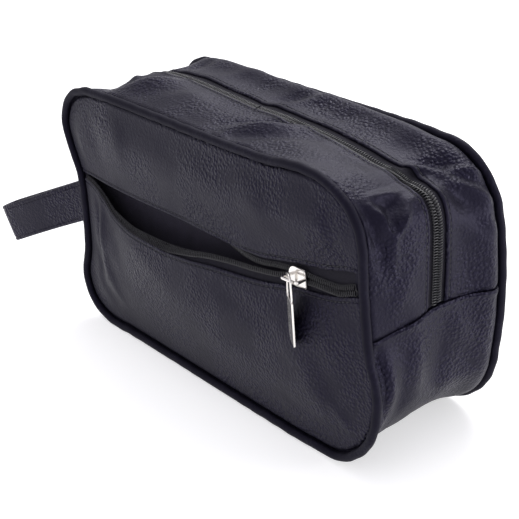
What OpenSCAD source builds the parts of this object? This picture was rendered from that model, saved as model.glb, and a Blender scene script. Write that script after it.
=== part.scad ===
// Zip-top shaving kit bag in grained leather cloth.
// Two piped panels, a bottom gusset and two top strips make the box. A zip joins the strips over the
// top and down both ends, a second zip closes the front pocket, and a wrist loop hangs at the left.
// The origin is on the resting face, at the middle of the base. +X runs to the right, -Y is the front
// and +Z is up. All sizes are in millimetres.

/* [Bag] */
// Length of the bag over the piping
bag_w = 250; // [190:1:320]
// Depth of the bag over both pipings
bag_d = 84; // [64:1:130]
// Height of the bag over the piping
bag_h = 146; // [120:1:190]
// Radius of the two top corners
top_r = 32; // [22:1:40]
// Radius of the two bottom corners
base_r = 36; // [22:1:42]
// Height of the seam where the bottom gusset meets the top strips
seam_h = 77; // [64:1:92]

/* [Leather and cloth] */
// Thickness of the leather cloth
leather_t = 1.4; // [1:0.1:2]
// Thickness of the lining cloth
lining_t = 0.4; // [0.3:0.1:0.8]
// Diameter of the piping
pipe_d = 4.4; // [3.6:0.1:6]
// Diameter of the filler cord inside the piping
pipe_cord_d = 2.4; // [1.6:0.1:3]
// How far the piping stands proud of the gusset
pipe_proud = 1.4; // [0.8:0.1:2]
// Width of the seam allowance inside the piping
seam_allow = 4.6; // [3:0.1:7]
// Thickness of the tape that binds the back seam
binding_t = 0.5; // [0.4:0.1:1]
// Depth of the front pocket
pocket_d = 6; // [5:0.1:10]

/* [Zips] */
// Width of the closed chain
chain_w = 6; // [5:0.1:7]
// Height of the coil above the tape
chain_h = 1.7; // [1.4:0.1:2.2]
// Thickness of the zip tape
tape_t = 0.6; // [0.4:0.1:0.8]
// Width of one tape, from the middle of the chain
tape_w = 14; // [11:0.5:18]
// Distance from the middle of the chain to the leather edge
zip_reveal = 5.6; // [5.5:0.1:8]
// How far each coil is pushed aside by the slider's post
chain_spread = 1; // [0.9:0.1:1.4]
// Length of a slider body
slider_l = 12; // [10:0.5:15]
// Thickness of each of the slider's two plates
plate_t = 1.1; // [0.8:0.1:1.5]
// Diameter of the slider's crown bar
crown_d = 1.6; // [1.4:0.1:1.7]
// Length of a puller from its eye to its tip
puller_l = 32; // [20:1:45]
// Width of a puller's tab
puller_w = 10; // [6:0.5:11]
// Thickness of a puller's tab
puller_t = 1; // [0.8:0.1:1.1]
// How far the pocket puller is turned about its own length, in degrees
puller_turn = 62; // [0:1:62]

/* [Pocket] */
// Height of the pocket zip above the base, at the middle of the bag
pocket_zip_h = 88; // [76:1:98]
// Slope of the pocket zip up to the right, in degrees
pocket_tilt = 3; // [0:0.5:4]
// Where the pocket slider stands, from the middle of the bag
pocket_slider_x = 75; // [0:1:90]
// How far the open lower lip sags
pocket_sag = 11; // [6:1:18]

/* [Wrist loop] */
// Length of the loop outside the seam
loop_l = 76; // [50:1:110]
// Width of the strap
loop_w = 23; // [15:1:30]
// Thickness of the folded strap
loop_t = 2.4; // [1.6:0.1:3]
// Outer radius of the fold at the end of the loop
loop_end_r = 7; // [5:0.5:9]
// Height of the strap's middle where it leaves the seam
loop_h = 70; // [60:1:80]
// How far the loop droops, in degrees
loop_droop = 23; // [0:1:35]
// How far the loop points forward, in degrees
loop_forward = 12; // [0:1:30]

/* [Hidden] */
$fn = 64;

leather = [0.16, 0.16, 0.2];
cloth = [0.08, 0.08, 0.1];
zip_black = [0.05, 0.05, 0.06];
nickel = [0.85, 0.84, 0.8];

fit = 0.1;          // clearance between pieces that are sewn side by side
slide_fit = 0.25;   // clearance between a slider and the tape it runs on
fold_bulge = 0.2;   // how far the wrist loop's fold bulges past its legs
lip_gap = 0.3;      // gap at each end of the two top strips that lift
big = 500;          // longer than the bag in any direction

pipe_r = pipe_d / 2;
pipe_y = bag_d / 2 - pipe_r;                 // middle plane of a piping
seam_y = bag_d / 2 - pipe_d - fit / 2;       // where the gusset's edge meets the piping's flange
flange_t = 0.65;
panel_y = seam_y + flange_t;                 // back face of a panel
panel_in = pipe_d + fit;                     // a panel's inset from the bag's outline
seam_in = panel_in + seam_allow;             // inner edge of the seam allowances
bind_y = seam_y - leather_t;                 // where the seam binding starts
lining_y = panel_y - pocket_d;               // front face of the lining behind the pocket
tape_in = pipe_proud + leather_t;            // inset of the zip tape's outer face
lip_half = bag_w / 2 - top_r;                // half length of the strips that lift
zip_half = bag_w / 2 - seam_in;              // half length of the pocket zip
post_w = 1.5;                                // width of the post that parts the coils
chain_gap = 0.3;                             // gap between the two closed coils
coil_w = (chain_w - chain_gap) / 2;
tape_edge = 1.6;                             // from the middle of the chain to the tape's edge

// Slider, in its own frame: x runs to the tail, y across the tape, z out of the tape's face.
channel_half = chain_w / 2 + chain_spread + 0.2;
rail_t = 0.8;
slider_half = channel_half + rail_t;
plate_z = chain_h + slide_fit;
plate_top = plate_z + plate_t;
eye_r = 3.2;                                 // hole in a puller's eye
eye_rim = 1.2;
eye_outer = eye_r + eye_rim;
eye_bead = 2;                                // length of the round bead at the top of the rim
crown_z = plate_top + eye_outer + 0.3;       // middle of the crown bar
leg_t = 1;
leg_x = slider_l / 2 - leg_t - 0.2;          // inner face of a crown leg
eye_drop = 0.3;                              // how far an eye hangs below the crown bar

loop_root_r = loop_t / 2 + 0.2;
loop_root_h = loop_w / cos(loop_droop) + 1;  // length of the seam at the loop's root
loop_x = -bag_w / 2 + pipe_proud - lip_gap - loop_root_r;
loop_y = -seam_y + lip_gap + loop_root_r;

main_slider_z = seam_h + 1 + slider_l / 2;
main_face_x = -bag_w / 2 + tape_in;          // outer face of the left tape
pocket_arc_x = [-zip_half, pocket_slider_x - slider_l / 2 - 0.5];
pocket_chord = (pocket_arc_x[1] - pocket_arc_x[0]) / 2;
pocket_arc_r = (pocket_chord * pocket_chord + pocket_sag * pocket_sag) / (2 * pocket_sag);
pocket_arc_mid = (pocket_arc_x[0] + pocket_arc_x[1]) / 2;
pocket_slider_z = pocket_zip_h + pocket_slider_x * sin(pocket_tilt);

// ---------- shared outlines ----------

// A rounded outline in x and z, drawn inset from the bag's own outline.
module outline(inset, base_inset) {
    half = bag_w / 2 - inset;
    top = bag_h - inset;
    rt = top_r - inset;
    rb = base_r - max(inset, base_inset);
    translate([-half, base_inset + rb]) square([2 * half, top - rt - base_inset - rb]);
    translate([-half + rt, base_inset + rb]) square([2 * (half - rt), top - base_inset - rb]);
    translate([-half + rb, base_inset]) square([2 * (half - rb), top - rt - base_inset]);
    for (side = [-1, 1]) {
        translate([side * (half - rt), top - rt]) circle(rt);
        translate([side * (half - rb), base_inset + rb]) circle(rb);
    }
}

// Children drawn in x and z, as a slab between two y planes.
module slab(y0, y1) {
    translate([0, y1, 0]) rotate([90, 0, 0]) linear_extrude(y1 - y0) children();
}

// A rectangle in x and z.
module window(x0, x1, z0, z1) {
    translate([x0, z0]) square([x1 - x0, z1 - z0]);
}

// The stretch of a ring that one part of a top strip, tape or coil covers.
module stretch(part) {
    intersection() {
        children();
        if (part == "left") window(-big, -lip_half, seam_h, big);
        if (part == "top") window(-lip_half + lip_gap, lip_half - lip_gap, seam_h, big);
        if (part == "right") window(lip_half, big, seam_h, big);
    }
}

// The pocket zip's own frame in x and z: its chain runs along x through the origin.
module on_zip() {
    translate([0, pocket_zip_h]) rotate(pocket_tilt) children();
}

module on_back(back) {
    if (back) mirror([0, 1, 0]) children();
    else children();
}

// ---------- leather ----------

module gusset_ring() {
    difference() {
        outline(pipe_proud, 0);
        outline(pipe_proud + leather_t, leather_t);
    }
}

module seam_ring(outer) {
    difference() {
        outline(outer, outer == pipe_proud ? 0 : outer);
        outline(seam_in, seam_in);
    }
}

module front_panel() {
    color(leather) slab(-panel_y - leather_t, -panel_y) intersection() {
        outline(panel_in, panel_in);
        on_zip() window(-big, big, zip_reveal, big);
    }
}

module back_panel() {
    color(leather) slab(panel_y, panel_y + leather_t) outline(panel_in, panel_in);
}

// A disc whose lower edge runs a given distance above the sagging leather edge.
module sag_disc(above) {
    translate([pocket_arc_mid, -zip_reveal - pocket_sag + pocket_arc_r])
        circle(pocket_arc_r - above, $fn = 180);
}

module pocket_front() {
    color(leather) slab(-panel_y - leather_t, -panel_y) difference() {
        intersection() {
            outline(panel_in, panel_in);
            on_zip() window(-big, big, -big, -zip_reveal);
        }
        on_zip() sag_disc(0);
    }
}

module bottom_gusset() {
    color(leather) {
        slab(-seam_y, seam_y) intersection() {
            gusset_ring();
            window(-big, big, -1, seam_h);
        }
        for (back = [false, true]) on_back(back) slab(-seam_y, -bind_y) intersection() {
            seam_ring(pipe_proud);
            window(-big, big, -1, seam_h);
        }
    }
}

// One stretch of a top strip. The end stretches carry the seam allowance; the top one folds at it.
module strip(part, back) {
    color(leather) on_back(back) {
        slab(-seam_y + (part == "top" ? slide_fit : 0), -zip_reveal) stretch(part) gusset_ring();
        if (part != "top") slab(-seam_y, -bind_y) stretch(part) seam_ring(pipe_proud);
    }
}

// ---------- piping ----------

// A round bar bent along the bag's outline.
module bent_bar(r) {
    half = bag_w / 2 - pipe_r;
    for (side = [0, 1]) mirror([side, 0, 0]) {
        translate([half - top_r + pipe_r, 0, bag_h - top_r]) rotate([90, 0, 0])
            rotate_extrude(angle = 90) translate([top_r - pipe_r, 0]) circle(r, $fn = 32);
        translate([half - base_r + pipe_r, 0, base_r]) rotate([90, 0, 0]) rotate([0, 0, -90])
            rotate_extrude(angle = 90) translate([base_r - pipe_r, 0]) circle(r, $fn = 32);
        translate([half, 0, base_r]) cylinder(r = r, h = bag_h - top_r - base_r, $fn = 32);
    }
    translate([-lip_half, 0, bag_h - pipe_r]) rotate([0, 90, 0]) cylinder(r = r, h = 2 * lip_half, $fn = 32);
    translate([-bag_w / 2 + base_r, 0, pipe_r]) rotate([0, 90, 0])
        cylinder(r = r, h = bag_w - 2 * base_r, $fn = 32);
}

module piping(back) {
    color(leather) on_back(back) {
        difference() {
            translate([0, -pipe_y, 0]) bent_bar(pipe_r);
            translate([0, -pipe_y, 0]) bent_bar(pipe_cord_d / 2 + fit / 2);
        }
        slab(-panel_y, -seam_y) seam_ring(pipe_r);
    }
}

module piping_cord(back) {
    color("white") on_back(back) translate([0, -pipe_y, 0]) bent_bar(pipe_cord_d / 2);
}

// ---------- lining ----------

// The folded seam at the front, which holds the lining a pocket's depth behind the panel.
module front_seam_binding() {
    color(cloth) slab(-bind_y, -lining_y) seam_ring(panel_in);
}

// The tape sewn over the raw edges of the back seam.
module back_seam_binding() {
    color(cloth) {
        slab(bind_y - binding_t, bind_y) seam_ring(tape_in + binding_t);
        slab(bind_y - binding_t, panel_y) difference() {
            outline(seam_in, seam_in);
            outline(seam_in + binding_t, seam_in + binding_t);
        }
    }
}

module front_lining() {
    color(cloth) slab(-lining_y, -lining_y + lining_t) outline(panel_in, panel_in);
}

module back_lining() {
    color(cloth) slab(panel_y - lining_t, panel_y)
        outline(seam_in + binding_t + fit, seam_in + binding_t + fit);
}

module bottom_lining() {
    color(cloth) slab(-bind_y + fit, bind_y - fit) intersection() {
        difference() {
            outline(tape_in, leather_t);
            outline(tape_in + lining_t, leather_t + lining_t);
        }
        window(-big, big, 0, seam_h);
    }
}

// ---------- zips ----------

module tape(part, back) {
    color(zip_black) on_back(back) slab(-tape_w, -tape_edge) stretch(part) difference() {
        outline(tape_in, leather_t);
        outline(tape_in + tape_t, leather_t + tape_t);
    }
}

// The coil on one tape's edge. Below the main slider the two coils stand apart.
module teeth(part, back) {
    parted = main_slider_z - slider_l / 4;
    color(zip_black) on_back(back) {
        slab(-chain_gap / 2 - coil_w, -chain_gap / 2) intersection() {
            stretch(part) coil_ring();
            if (part == "left") window(-big, big, parted, big);
            else window(-big, big, seam_h, big);
        }
        if (part == "left") slab(-chain_gap / 2 - coil_w - chain_spread, -chain_gap / 2 - chain_spread)
            intersection() {
                coil_ring();
                window(-big, 0, seam_h, parted);
            }
    }
}

module coil_ring() {
    difference() {
        outline(tape_in - chain_h, leather_t);
        outline(tape_in, leather_t);
    }
}

module pocket_tape_upper() {
    color(zip_black) slab(-panel_y, -panel_y + tape_t) intersection() {
        on_zip() window(-zip_half, zip_half, tape_edge, tape_w);
        outline(seam_in, seam_in);
    }
}

module pocket_tape_lower() {
    color(zip_black) slab(-panel_y, -panel_y + tape_t) intersection() {
        on_zip() {
            window(pocket_arc_x[1], zip_half, -tape_w, -tape_edge);
            intersection() {
                difference() {
                    sag_disc(zip_reveal - tape_w);
                    sag_disc(zip_reveal - tape_edge);
                }
                window(pocket_arc_x[0], pocket_arc_x[1], -big, 0);
            }
        }
        outline(seam_in, seam_in);
    }
}

module pocket_teeth_upper() {
    parted = pocket_slider_x - slider_l / 4;
    color(zip_black) slab(-panel_y - chain_h, -panel_y) on_zip() {
        window(parted, zip_half, chain_gap / 2, chain_gap / 2 + coil_w);
        window(-zip_half, parted, chain_gap / 2 + chain_spread, chain_gap / 2 + chain_spread + coil_w);
    }
}

module pocket_teeth_lower() {
    parted = pocket_slider_x - slider_l / 4;
    edge = chain_gap / 2 + coil_w;
    color(zip_black) slab(-panel_y - chain_h, -panel_y) on_zip() {
        window(parted, zip_half, -edge, -chain_gap / 2);
        window(pocket_arc_x[1], parted, -edge - chain_spread, -chain_gap / 2 - chain_spread);
        intersection() {
            difference() {
                sag_disc(zip_reveal - edge - chain_spread);
                sag_disc(zip_reveal - chain_gap / 2 - chain_spread);
            }
            window(pocket_arc_x[0], pocket_arc_x[1], -big, 0);
        }
    }
}

// ---------- sliders and pullers ----------

module slider_plate() {
    translate([-slider_l / 2 + slider_half, 0]) circle(slider_half);
    translate([-slider_l / 2 + slider_half, -slider_half])
        square([slider_l - slider_half, 2 * slider_half]);
}

module slider() {
    color(nickel) {
        translate([0, 0, plate_z]) linear_extrude(plate_t) slider_plate();
        translate([0, 0, -tape_t - slide_fit - plate_t]) linear_extrude(plate_t) slider_plate();
        translate([-slider_l / 2 + 0.6, -post_w / 2, -tape_t - slide_fit - plate_t / 2])
            cube([2, post_w, tape_t + slide_fit + plate_t + plate_z]);
        for (side = [-1, 1]) {
            translate([-slider_l / 2 + slider_half, side * (slider_half - rail_t / 2) - rail_t / 2, slide_fit])
                cube([slider_l - slider_half, rail_t, plate_z]);
            translate([side > 0 ? leg_x : -leg_x - leg_t, -crown_d / 2, plate_z + plate_t / 2])
                cube([leg_t, crown_d, crown_z - plate_z - plate_t / 2]);
        }
        translate([-leg_x - leg_t, 0, crown_z]) rotate([0, 90, 0])
            cylinder(d = crown_d, h = 2 * (leg_x + leg_t), $fn = 32);
    }
}

// A flat puller in x and y: its eye is at the origin and the tab runs along -y.
module puller() {
    color(nickel) translate([0, 0, -puller_t / 2]) linear_extrude(puller_t) difference() {
        union() {
            circle(eye_outer);
            translate([-eye_outer / 2, -eye_outer - 3]) square([eye_outer, 4]);
            translate([-puller_w / 2, -puller_l]) square([puller_w, puller_l - eye_outer - 1.2]);
        }
        circle(eye_r);
    }
    color(nickel) translate([-eye_bead / 2, (eye_r + eye_outer) / 2, 0]) rotate([0, 90, 0])
        cylinder(d = eye_rim, h = eye_bead, $fn = 32);
}

module pocket_slider() {
    translate([pocket_slider_x * cos(pocket_tilt), -panel_y, pocket_slider_z])
        rotate([90, -pocket_tilt, 0]) slider();
}

module pocket_puller() {
    translate([pocket_slider_x * cos(pocket_tilt), -panel_y - crown_z, pocket_slider_z - eye_drop])
        rotate([0, 0, puller_turn - 90]) rotate([90, 0, 0]) puller();
}

module main_slider() {
    translate([main_face_x, 0, main_slider_z]) rotate([0, -90, 0]) slider();
}

// The eye hangs round the crown's lower leg, and turns about the top of its rim.
module main_puller() {
    window_mid = (plate_top + crown_z - crown_d / 2) / 2;
    translate([main_face_x - window_mid, 0, main_slider_z - leg_x - leg_t / 2])
        rotate([0, 0, 90]) rotate([90, 0, 0]) puller();
}

// ---------- wrist loop ----------

// The folded strap seen along its width: its root at the origin and its fold at -x. The fold bulges a
// little beyond the two legs, as a folded strap does.
module loop_outline() {
    reach = loop_l - loop_end_r;
    splay = asin((loop_end_r - loop_t / 2) / reach);
    inner_r = loop_end_r - loop_t;
    past = loop_w / 2;
    function on_fold(r, side) = [-reach + r * sin(splay), side * r * cos(splay)];
    function at_root(side) = [past * cos(splay) + loop_t / 2 * sin(splay),
        side * (loop_t / 2 * cos(splay) - past * sin(splay))];
    difference() {
        union() {
            translate([-reach, 0]) circle(loop_end_r + fold_bulge);
            polygon([on_fold(loop_end_r, 1), on_fold(loop_end_r, -1), at_root(-1), at_root(1)]);
        }
        translate([-reach, 0]) circle(inner_r + fold_bulge);
        polygon([on_fold(inner_r, 1), on_fold(inner_r, -1), [-loop_t / 2 / sin(splay), 0]]);
    }
}

module wrist_loop() {
    color(leather) translate([loop_x, loop_y, loop_h]) rotate([0, 0, loop_forward]) {
        intersection() {
            rotate([0, -loop_droop, 0]) translate([0, 0, -loop_w / 2]) linear_extrude(loop_w)
                loop_outline();
            translate([-big, -big / 2, -big / 2]) cube([big, big, big]);
        }
        translate([0, 0, -loop_root_h / 2]) cylinder(r = loop_root_r, h = loop_root_h);
    }
}

// ---------- the bag ----------

front_panel();
pocket_front();
pocket_tape_upper();
pocket_tape_lower();
pocket_teeth_upper();
pocket_teeth_lower();
piping(false);  // front_piping
piping_cord(false);  // front_piping_cord
front_seam_binding();
front_lining();
back_panel();
piping(true);  // back_piping
piping_cord(true);  // back_piping_cord
back_seam_binding();
back_lining();
bottom_gusset();
bottom_lining();
strip("left", false);  // front_strip_left
strip("top", false);  // front_strip_top
strip("right", false);  // front_strip_right
strip("left", true);  // back_strip_left
strip("top", true);  // back_strip_top
strip("right", true);  // back_strip_right
tape("left", false);  // front_tape_left
tape("top", false);  // front_tape_top
tape("right", false);  // front_tape_right
tape("left", true);  // back_tape_left
tape("top", true);  // back_tape_top
tape("right", true);  // back_tape_right
teeth("left", false);  // front_teeth_left
teeth("top", false);  // front_teeth_top
teeth("right", false);  // front_teeth_right
teeth("left", true);  // back_teeth_left
teeth("top", true);  // back_teeth_top
teeth("right", true);  // back_teeth_right
main_slider();
main_puller();
pocket_slider();
pocket_puller();
wrist_loop();
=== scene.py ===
# %% [markdown]
# # A soft zipped wash bag, sewn from leather cloth
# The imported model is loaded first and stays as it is. Every piece below is made in metres in the same
# frame: x runs along the bag, y from the pocket side to the back, z up from the table.

# %% Load the frame
import math

import bpy
import numpy as np
from mathutils import Matrix, Vector


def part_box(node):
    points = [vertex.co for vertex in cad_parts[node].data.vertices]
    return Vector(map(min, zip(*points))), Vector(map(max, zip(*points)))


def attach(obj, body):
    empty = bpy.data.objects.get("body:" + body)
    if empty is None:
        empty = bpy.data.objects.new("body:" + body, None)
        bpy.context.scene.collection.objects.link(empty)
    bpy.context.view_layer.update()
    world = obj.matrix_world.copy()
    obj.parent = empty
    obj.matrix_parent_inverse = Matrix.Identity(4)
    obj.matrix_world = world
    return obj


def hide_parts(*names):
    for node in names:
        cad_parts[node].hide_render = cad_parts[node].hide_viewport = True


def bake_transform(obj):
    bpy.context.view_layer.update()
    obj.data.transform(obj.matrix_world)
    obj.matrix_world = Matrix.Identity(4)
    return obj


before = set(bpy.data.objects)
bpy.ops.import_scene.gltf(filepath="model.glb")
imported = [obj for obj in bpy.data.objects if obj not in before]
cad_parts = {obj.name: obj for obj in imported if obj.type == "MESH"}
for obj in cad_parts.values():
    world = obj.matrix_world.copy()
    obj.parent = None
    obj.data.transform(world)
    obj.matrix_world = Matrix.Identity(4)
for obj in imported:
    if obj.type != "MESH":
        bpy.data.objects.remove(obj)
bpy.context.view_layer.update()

MM = 0.001
print("frame loaded:", len(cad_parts), "nodes")

# %% [markdown]
# ## Driving sizes
# The bag is cut from flat patterns, so the sizes that matter are the ones a maker would draw: the
# outline of the two big panels, the gusset width between them, and the thickness of the leather cloth.
# They are read from the frame's boxes where a node shows them.

# %% Driving sizes
piping_low, piping_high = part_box("front_piping")
panel_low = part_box("front_panel")[0]
tape_low, tape_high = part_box("front_tape_top")

bag_w = round((piping_high.x - piping_low.x) / MM)      # 250
bag_h = round(piping_high.z / MM)                       # 146
top_r = 32.0                     # top corners of the outline
base_r = 36.0                    # bottom corners
pipe_r = 2.2                     # radius of a piping
cord_r = 1.2                     # filler cord inside it
pipe_mid = -piping_low.y / MM - pipe_r                  # 39.8
leather_t = 1.4
tape_t = (tape_high.z - tape_low.z) / MM                # 0.6
face_in = 1.4                    # how far strips and gusset sit inside the piping's outer edge
panel_face = -panel_low.y / MM                          # 39.6
seam_z = 77.0                    # height of the seams at the two ends
coil_pitch = 1.4
coil_half = 1.43                 # half width of one coil
coil_h = 1.7
chain_gap = 0.15                 # from the middle of the zip to a coil
band_half = 37.5                 # half width of the gusset, with its seam allowance
tuck_in = 3.9                    # how far the big panels stop inside the outline
probe = 0.3                      # step used to find which way a surface faces
slider_x = 75.0                  # where the pocket slider stands along the bag
pocket_zip_z = 88.0              # height of the pocket zip at the middle of the bag
print("bag", bag_w, "x", round(2 * (pipe_mid + pipe_r)), "x", bag_h, "mm")

# %% [markdown]
# ## A smooth line through a few points
# Edges of soft pieces are never straight. Each one is given by heights along its length, as a maker
# would mark them, and this helper draws a smooth line through them that does not swing past any of them.

# %% Smooth lines


def through(points):
    xs, ys = (np.array(v, float) for v in zip(*points))
    step = np.diff(xs)
    rise = np.diff(ys) / step
    slope = np.zeros(len(xs))
    same = rise[:-1] * rise[1:] > 0
    slope[1:-1][same] = 2 * rise[:-1][same] * rise[1:][same] / (rise[:-1] + rise[1:])[same]

    def line(x):
        x = np.clip(x, xs[0], xs[-1])
        i = np.clip(np.searchsorted(xs, x) - 1, 0, len(xs) - 2)
        h = step[i]
        t = (x - xs[i]) / h
        return ((1 + 2 * t) * (1 - t) ** 2 * ys[i] + t * (1 - t) ** 2 * h * slope[i]
                + t * t * (3 - 2 * t) * ys[i + 1] + t * t * (t - 1) * h * slope[i + 1])

    return line


def ease(t):
    t = np.clip(t, 0.0, 1.0)
    return t * t * (3 - 2 * t)


print("smooth line through 0, 1, 0 half way up:", through([(0, 0), (1, 1), (2, 0)])(0.5))

# %% [markdown]
# ## The outline, measured as a run
# Piping, gusset, strips and zip all follow one rounded outline. A place on it is given by its run: the
# distance in millimetres from the middle of the base, up the right end, over the top and down the left.

# %% Outline
half_w = bag_w / 2
base_flat = half_w - base_r
base_arc = base_r * math.pi / 2
side_flat = bag_h - top_r - base_r
top_arc = top_r * math.pi / 2
top_flat = half_w - top_r
run_base = base_flat                       # base corner starts
run_side = run_base + base_arc             # side starts
run_arc = run_side + side_flat             # top corner starts
run_top = run_arc + top_arc                # top starts
run_mid = run_top + top_flat               # middle of the top
girth = 2 * run_mid
run_seam = run_side + seam_z - base_r      # right end seam
run_seam_left = girth - run_seam


def rim(run):
    """Point on the outline (x, z) and its outward direction."""
    s = np.mod(np.asarray(run, float), girth)
    left = s > girth / 2
    s = np.where(left, girth - s, s)
    a = (s - run_base) / base_r - math.pi / 2
    b = (s - run_arc) / top_r
    where = [s < run_base, s < run_side, s < run_arc, s < run_top]
    x = np.select(where, [s, base_flat + base_r * np.cos(a), half_w + 0 * s,
                          top_flat + top_r * np.cos(b)], top_flat - (s - run_top))
    z = np.select(where, [0 * s, base_r + base_r * np.sin(a), base_r + s - run_side,
                          bag_h - top_r + top_r * np.sin(b)], bag_h + 0 * s)
    nx = np.select(where, [0 * s, np.cos(a), 1 + 0 * s, np.cos(b)], 0 * s)
    nz = np.select(where, [-1 + 0 * s, np.sin(a), 0 * s, np.sin(b)], 1 + 0 * s)
    sign = np.where(left, -1.0, 1.0)
    return x * sign, z, nx * sign, nz


def nearest_run(x, z):
    """Run of the nearest outline point, and the depth inwards from it."""
    ax, sign = np.abs(x), np.where(x < 0, -1, 1)
    corner_top = (ax > top_flat) & (z > bag_h - top_r)
    corner_base = (ax > base_flat) & (z < base_r)
    at = np.arctan2(z - (bag_h - top_r), ax - top_flat)
    ab = np.arctan2(z - base_r, ax - base_flat)
    side, top, base = half_w - ax, bag_h - z, z
    flat_run = np.where((side <= top) & (side <= base), run_side + z - base_r,
                        np.where(top <= base, run_top + top_flat - ax, ax))
    flat_depth = np.minimum(np.minimum(side, top), base)
    run = np.select([corner_top, corner_base],
                    [run_arc + at * top_r, run_base + (ab + math.pi / 2) * base_r], flat_run)
    depth = np.select(
        [corner_top, corner_base],
        [top_r - np.hypot(z - (bag_h - top_r), ax - top_flat),
         base_r - np.hypot(z - base_r, ax - base_flat)], flat_depth)
    return np.where(sign < 0, girth - run, run), depth


def outline_top(x, inset):
    """Upper line of the outline, moved inwards by an inset."""
    r = top_r - inset
    reach = np.clip(np.abs(x) - top_flat, 0, r)
    return bag_h - top_r + np.sqrt(np.clip(r * r - reach ** 2, 0, None))


def outline_base(x, inset):
    r = base_r - inset
    reach = np.clip(np.abs(x) - base_flat, 0, r)
    return base_r - np.sqrt(np.clip(r * r - reach ** 2, 0, None))


print("girth", round(girth, 1), "mm, end seams at", round(run_seam, 1), round(run_seam_left, 1))

# %% [markdown]
# ## How the soft bag has settled
# An empty bag does not keep its drawn outline. The left end is pushed in, the base lifts between the two
# pipings, and the top strips puff up beside the zip. Each of these is one smooth line along the run, and
# a short list of creases is laid over them.

# %% Settled shape
front_drift = through([(0, 0), (60, 0), (78, -0.6), (90, -1.2), (102, -1.7), (115, -2.4),
                       (131, -1.7), (144, 0.2), (155, 1.7), (164, 0.9), (175, -2.2), (191, -4),
                       (203, -4.6), (215, -4.9), (227, -4.8), (240, -3.3), (251, -2.1),
                       (262, -1.0), (271, 0.6), (279, 2.0), (287, 2.2), (315, -0.2), (352, -0.6),
                       (394, -0.3), (440, 0), (458, -0.6), (470, -0.5), (482, 1.4), (494, 2.8),
                       (504, 3.4), (516, 0.7), (525, -2.9), (535, -6.4), (544, -6.9), (560, -6),
                       (578, -4), (588, -1), (594, 2), (603, 5.6), (613, 7), (626, 4.3),
                       (640, 1), (652, 0), (girth, 0)])
back_drift = through([(0, 0), (89, -1.5), (117, -3.5), (133, -3.0), (146, -1.5), (160, 0.5),
                      (174, 2), (190, 2.4), (210, 1.5), (223, -0.5), (240, -3.5), (258, -4.5),
                      (273, -4), (300, -2.6), (367, -2.2), (440, -2), (460, -2.5), (485, -2),
                      (511, 0), (545, -3), (590, -1), (645, -1), (girth, 0)])
middle_drift = through([(0, -7), (89, -8), (117, -8), (130, -6.8), (145, -4), (165, -2),
                        (183, -1.2), (200, -0.5), (215, 0.1), (227, 0.6), (237, 1.1),
                        (243, 0.2), (249, -3), (259, -6.8), (277, -7.2), (292, -4.8),
                        (307, -2.5), (323, -0.8), (340, 0.3), (361, 0.4), (381, 1.2), (402, 2.8),
                        (419, 3.4), (435, 3.6), (449, 2.2), (459, -1.5), (468, -3.6), (481, -3),
                        (495, -2.5), (508, -1), (516, 0), (550, 0), (588, -2), (616, -6),
                        (645, -8), (girth, -7)])
front_puff = through([(0, 0), (150, 0), (186, 1.5), (210, 2.5), (235, 2.0), (262, 1.8),
                      (295, 3.0), (315, 2.6), (350, 1.6), (400, 2.8), (430, 3.4), (444, 2.6),
                      (455, 0), (466, -2.2), (482, -1.8), (500, -0.5), (547, 1), (590, 0),
                      (girth, 0)])
back_puff = through([(0, 0), (95, 0.5), (125, 2.5), (150, 3), (186, 3.5), (215, 4), (245, 3),
                     (262, 3.6), (300, 5), (366, 5.5), (436, 5.6), (448, 4.6), (458, 1),
                     (466, -2), (482, -1.8), (500, 0.5), (547, 2), (590, 1), (620, 1), (650, 0.5),
                     (girth, 0)])
seam_wave = through([(-37.5, -3.2), (-20, -1), (0, 1.8), (23, 1.5), (37.5, 0.4)])

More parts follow.
